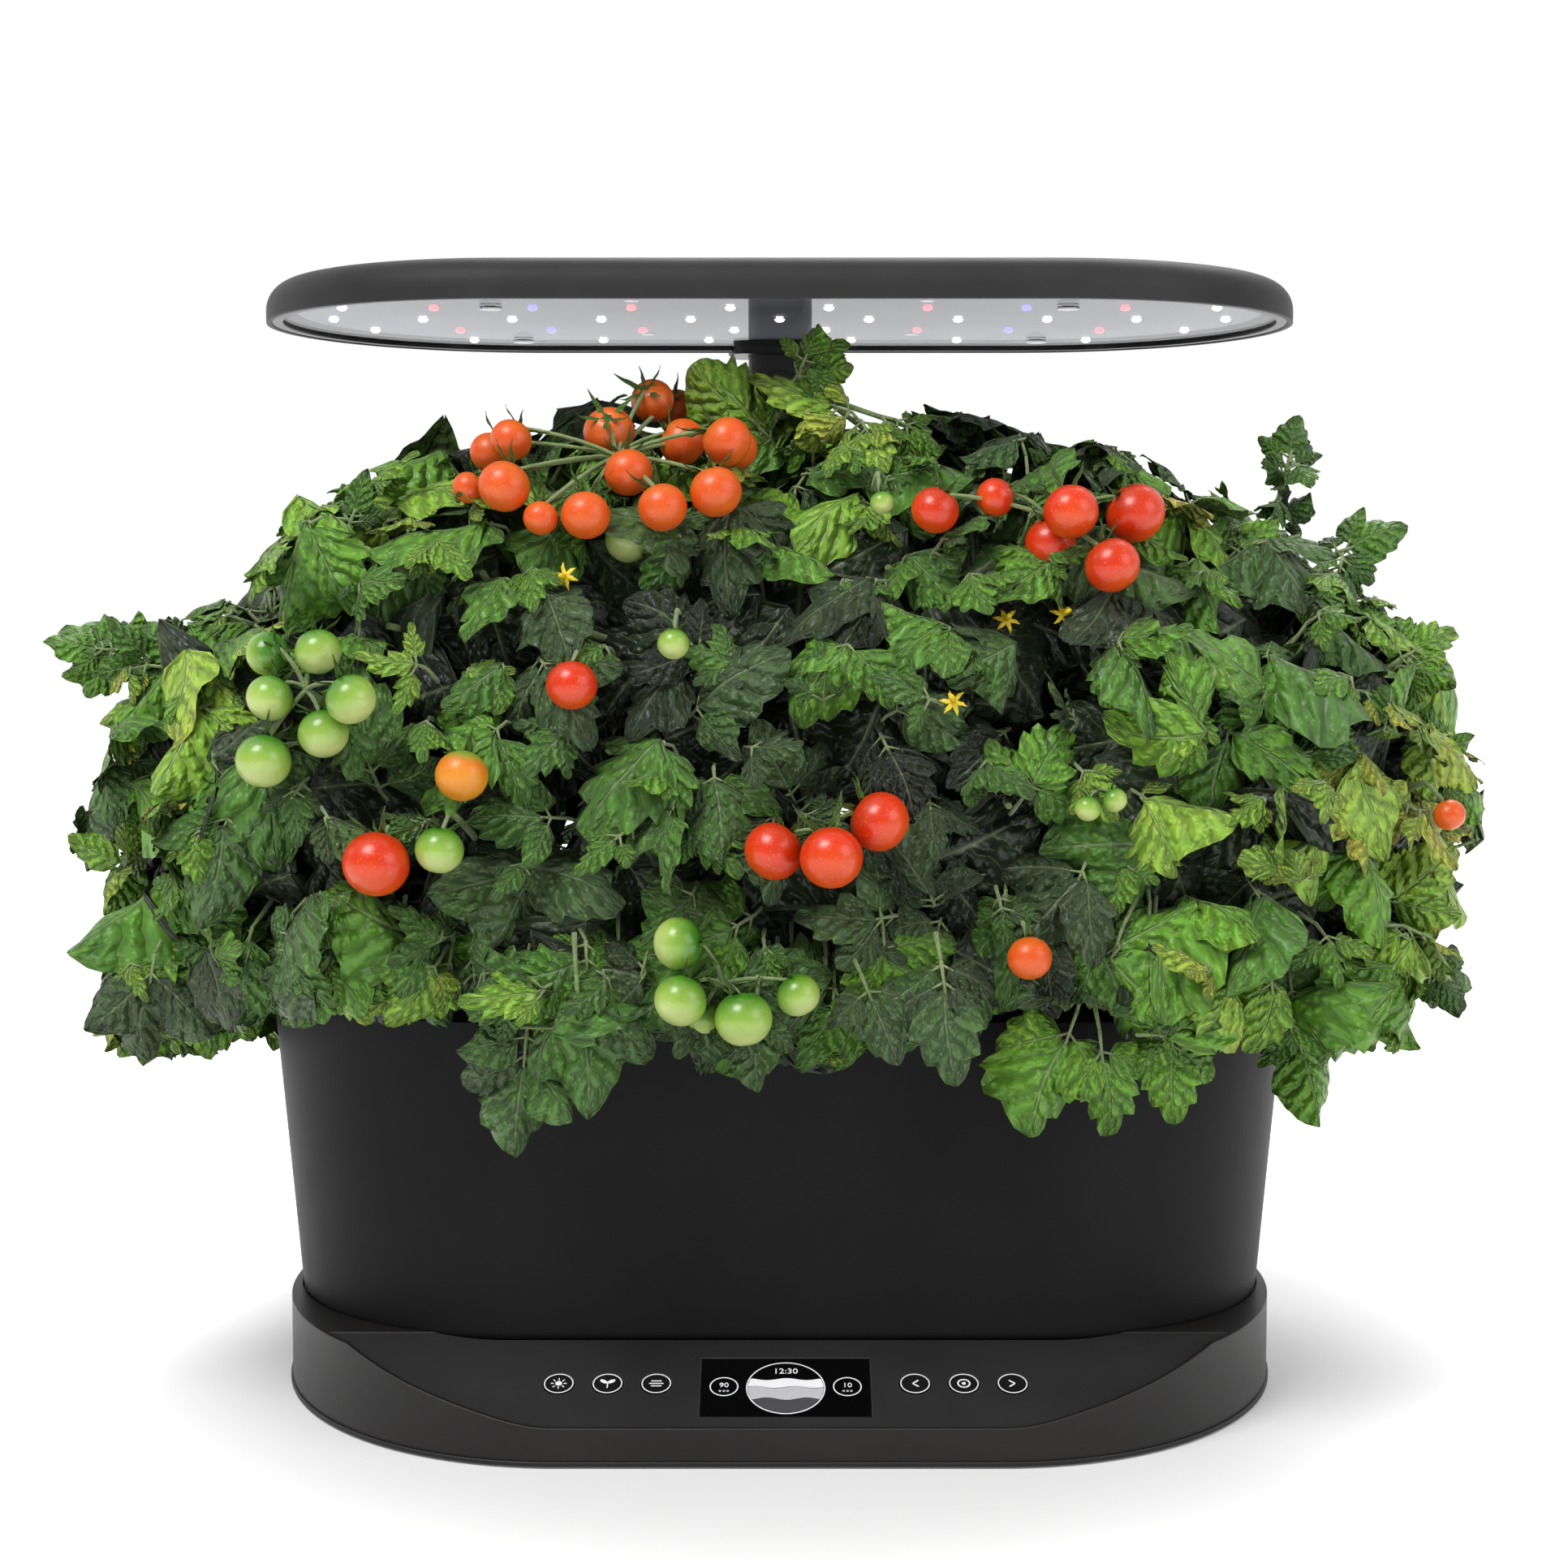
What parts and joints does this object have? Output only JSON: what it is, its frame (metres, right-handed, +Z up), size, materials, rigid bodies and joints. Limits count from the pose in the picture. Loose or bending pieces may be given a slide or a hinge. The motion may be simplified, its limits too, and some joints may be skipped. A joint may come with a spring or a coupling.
{
  "type": "countertop hydroponic garden",
  "caption": "Indoor water garden: wide rounded base with sloping display and keys, water bowl with planted pods, and a telescopic mast carrying an oval grow-light hood over leafy tomato plants.",
  "frame": {"origin": "underside of the middle rubber foot, on the plane of the five feet", "axes": "+Z up, +Y to the rear where the mast stands, -Y to the front where the display and keys are, +X to the right seen from the front, along the longest side"},
  "size_m": [0.6459, 0.3527, 0.4676],
  "materials": {
    "base_plastic": "fine-grained dark grey-brown moulded plastic",
    "base_underside": "plain black moulded plastic",
    "basket_plastic": "black plastic mesh basket",
    "board_white": "white solder resist",
    "bowl_plastic": "near-black satin plastic",
    "circuit": "green solder resist",
    "clear_cover": "clear glossy diffuser sheet",
    "column_plastic": "dark grey satin plastic",
    "deck_plastic": "dark grey satin plastic",
    "display_body": "dark module body",
    "display_glass": "smooth dark clear window",
    "fascia_plastic": "fine-grained near-black, satin",
    "filter_foam": "black open foam",
    "float_foam": "orange foam float",
    "foot_rubber": "soft matte black",
    "fruit_green": "glossy unripe green tomato",
    "fruit_orange": "glossy orange-red cherry tomato",
    "fruit_red": "glossy red cherry tomato",
    "glide_plastic": "natural low-friction plastic",
    "hood_plastic": "smooth dark grey, satin",
    "inlet_plastic": "black socket body",
    "key_plastic": "smooth dark key cap with a pale printed ring",
    "leaves": "fresh green tomato leaves",
    "led_blue": "pale blue lens",
    "led_red": "pale red lens",
    "led_white": "pale yellow lens",
    "mast_metal": "dark grey anodised, satin",
    "pump_plastic": "black plastic",
    "riser_clear": "clear flexible pipe",
    "rotor_plastic": "pale grey plastic",
    "screw_steel": "bright zinc",
    "sink_aluminium": "bare aluminium",
    "sponge": "dark brown growing sponge",
    "stems": "pale green hairy stems"
  },
  "bodies": {
    "base": {"base_pan": "base_underside", "base_screws": "screw_steel", "base_shell": "base_plastic", "bowl": "bowl_plastic", "canopy_far_left": "leaves", "canopy_far_right": "leaves", "canopy_left": "leaves", "canopy_middle": "leaves", "canopy_right": "leaves", "column_collar": "column_plastic", "column_screws": "screw_steel", "control_board": "circuit", "control_fascia": "fascia_plastic", "display_module": "display_body", "display_window": "display_glass", "fill_lid_pin": "screw_steel", "float_post": "pump_plastic", "grow_baskets": "basket_plastic", "grow_deck": "deck_plastic", "grow_sponges": "sponge", "leafy_sprigs": "leaves", "mast_column": "column_plastic", "plant_stems": "stems", "pod_spacers": "deck_plastic", "power_board": "circuit", "power_inlet": "inlet_plastic", "pump_cover": "pump_plastic", "pump_filter": "filter_foam", "pump_housing": "pump_plastic", "pump_riser": "riser_clear", "rubber_feet": "foot_rubber", "tomatoes_green": "fruit_green", "tomatoes_orange": "fruit_orange", "tomatoes_red": "fruit_red"},
    "mast_middle": {"mast_middle_tube": "mast_metal", "middle_collar": "column_plastic", "middle_glide": "glide_plastic"},
    "lamp_hood": {"mast_top_tube": "mast_metal", "top_glide": "glide_plastic", "hood_shell": "hood_plastic", "hood_bezel": "hood_plastic", "light_cover": "clear_cover", "led_board": "board_white", "heat_sink": "sink_aluminium", "leds_white": "led_white", "leds_red": "led_red", "leds_blue": "led_blue", "cover_pegs": "clear_cover", "hood_screws": "screw_steel", "hood_neck": "hood_plastic"},
    "fill_lid": {"fill_lid": "deck_plastic"},
    "level_float": {"level_float": "float_foam"},
    "pump_rotor": {"pump_rotor": "rotor_plastic"},
    "key_light": {"key_light": "key_plastic"},
    "key_plant": {"key_plant": "key_plastic"},
    "key_tips": {"key_tips": "key_plastic"},
    "key_left": {"key_left": "key_plastic"},
    "key_ok": {"key_ok": "key_plastic"},
    "key_right": {"key_right": "key_plastic"}
  },
  "joints": [
    {"name": "mast_lower_slide", "type": "slide", "parent": "base", "child": "mast_middle", "axis": [0, 0, 1], "range_m": [0, 0.19]},
    {"name": "mast_upper_slide", "type": "slide", "parent": "mast_middle", "child": "lamp_hood", "axis": [0, 0, 1], "range_m": [0, 0.208]},
    {"name": "fill_lid_hinge", "type": "hinge", "parent": "base", "child": "fill_lid", "pos_m": [0.154, -0.05, 0.1615], "axis": [-1, 0, 0], "range_deg": [0, 100]},
    {"name": "float_slide", "type": "slide", "parent": "base", "child": "level_float", "axis": [0, 0, 1], "range_m": [0, 0.05]},
    {"name": "pump_spin", "type": "hinge", "parent": "base", "child": "pump_rotor", "pos_m": [0.146, -0.014, 0.05], "axis": [0, 0, 1], "continuous": true},
    {"name": "key_light_press", "type": "slide", "parent": "base", "child": "key_light", "axis": [0, 0.3714, -0.9285], "range_m": [0, 0.0008], "stiffness_N_per_m": 300},
    {"name": "key_plant_press", "type": "slide", "parent": "base", "child": "key_plant", "axis": [0, 0.3714, -0.9285], "range_m": [0, 0.0008], "stiffness_N_per_m": 300},
    {"name": "key_tips_press", "type": "slide", "parent": "base", "child": "key_tips", "axis": [0, 0.3714, -0.9285], "range_m": [0, 0.0008], "stiffness_N_per_m": 300},
    {"name": "key_left_press", "type": "slide", "parent": "base", "child": "key_left", "axis": [0, 0.3714, -0.9285], "range_m": [0, 0.0008], "stiffness_N_per_m": 300},
    {"name": "key_ok_press", "type": "slide", "parent": "base", "child": "key_ok", "axis": [0, 0.3714, -0.9285], "range_m": [0, 0.0008], "stiffness_N_per_m": 300},
    {"name": "key_right_press", "type": "slide", "parent": "base", "child": "key_right", "axis": [0, 0.3714, -0.9285], "range_m": [0, 0.0008], "stiffness_N_per_m": 300}
  ]
}
